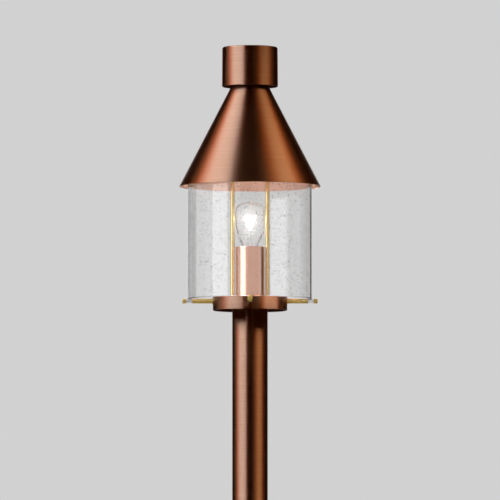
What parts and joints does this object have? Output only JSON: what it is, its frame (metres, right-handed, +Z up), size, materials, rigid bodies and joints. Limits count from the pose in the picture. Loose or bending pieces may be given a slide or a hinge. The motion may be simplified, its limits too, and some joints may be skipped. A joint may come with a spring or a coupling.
{
  "type": "garden lamp post",
  "caption": "Copper garden post light: round post on a base plate, clear bubbled glass cylinder on pins, conical hood on rods with a screwed cap.",
  "frame": {"origin": "centre of the base plate's underside, on the ground", "axes": "+Z up along the post; the hood rods stand either side along X; -Y is the side that the picture was taken from"},
  "size_m": [0.24, 0.24, 1.1],
  "materials": {
    "brushed_copper": "copper, brushed around the axis and clear-lacquered",
    "polished_copper": "copper, polished",
    "brass": "polished brass",
    "steel": "stainless steel",
    "cast_aluminium": "cast, turned",
    "seeded_glass": "clear glass full of small air bubbles",
    "clear_silicone": "clear silicone tube",
    "black_rubber": "black rubber",
    "porcelain": "glazed porcelain",
    "bulb_glass": "clear thin glass",
    "bulb_base_metal": "pressed sheet",
    "bulb_black_glass": "black glass",
    "tungsten": "drawn wire",
    "terminal_plastic": "moulded",
    "lead_insulation": "silicone insulated lead"
  },
  "bodies": {
    "post": {"base_plate": "brushed_copper", "base_set_screws": "steel", "cable_grommet": "black_rubber", "centre_contact": "brass", "collar": "brushed_copper", "collar_cover_plate": "brushed_copper", "cover_plate_screws": "steel", "earth_lead": "lead_insulation", "earth_screw": "steel", "glass_cushion_front": "clear_silicone", "glass_cushion_left": "clear_silicone", "glass_cushion_rear": "clear_silicone", "glass_cushion_right": "clear_silicone", "head_hub": "cast_aluminium", "holder_terminals": "brass", "hood_rod_left": "brass", "hood_rod_right": "brass", "hood_spacer": "brass", "hood_stud": "brass", "hub_set_screws": "steel", "lamp_leads": "lead_insulation", "lamp_nipple": "brass", "lamp_sleeve": "polished_copper", "lampholder_body": "porcelain", "lampholder_foot": "porcelain", "lampholder_shell": "brass", "nipple_nuts": "brass", "pin_washers": "brass", "post_tube": "brushed_copper", "rod_bridge": "brass", "rod_nuts": "brass", "stud_nut": "brass", "support_pin_front": "brass", "support_pin_left": "brass", "support_pin_rear": "brass", "support_pin_right": "brass", "terminal_block": "terminal_plastic", "terminal_screws": "steel", "terminal_strap": "steel"},
    "hood": {"hood_cone": "brushed_copper", "hood_top_plate": "brushed_copper"},
    "cap": {"cap": "brushed_copper", "cap_boss": "brass"},
    "glass": {"glass_cylinder": "seeded_glass"},
    "bulb": {"bulb_envelope": "bulb_glass", "bulb_screw_base": "bulb_base_metal", "bulb_insulator": "bulb_black_glass", "bulb_tip_contact": "bulb_base_metal", "bulb_stem": "bulb_glass", "bulb_support_wires": "tungsten", "bulb_filament": "tungsten"}
  },
  "joints": [
    {"name": "hood_lift", "type": "slide", "parent": "post", "child": "hood", "axis": [0, 0, 1], "range_m": [0, 0.46]},
    {"name": "cap_turn", "type": "hinge", "parent": "hood", "child": "cap", "pos_m": [0, 0, 1.05], "axis": [0, 0, 1], "continuous": true},
    {"name": "glass_lift", "type": "slide", "parent": "post", "child": "glass", "axis": [0, 0, 1], "range_m": [0, 0.414]},
    {"name": "bulb_turn", "type": "hinge", "parent": "post", "child": "bulb", "pos_m": [0, 0, 0.75], "axis": [0, 0, 1], "continuous": true}
  ],
  "couplings": [
    {"joint": "glass_lift", "follows": "hood_lift", "ratio": 0.9}
  ]
}
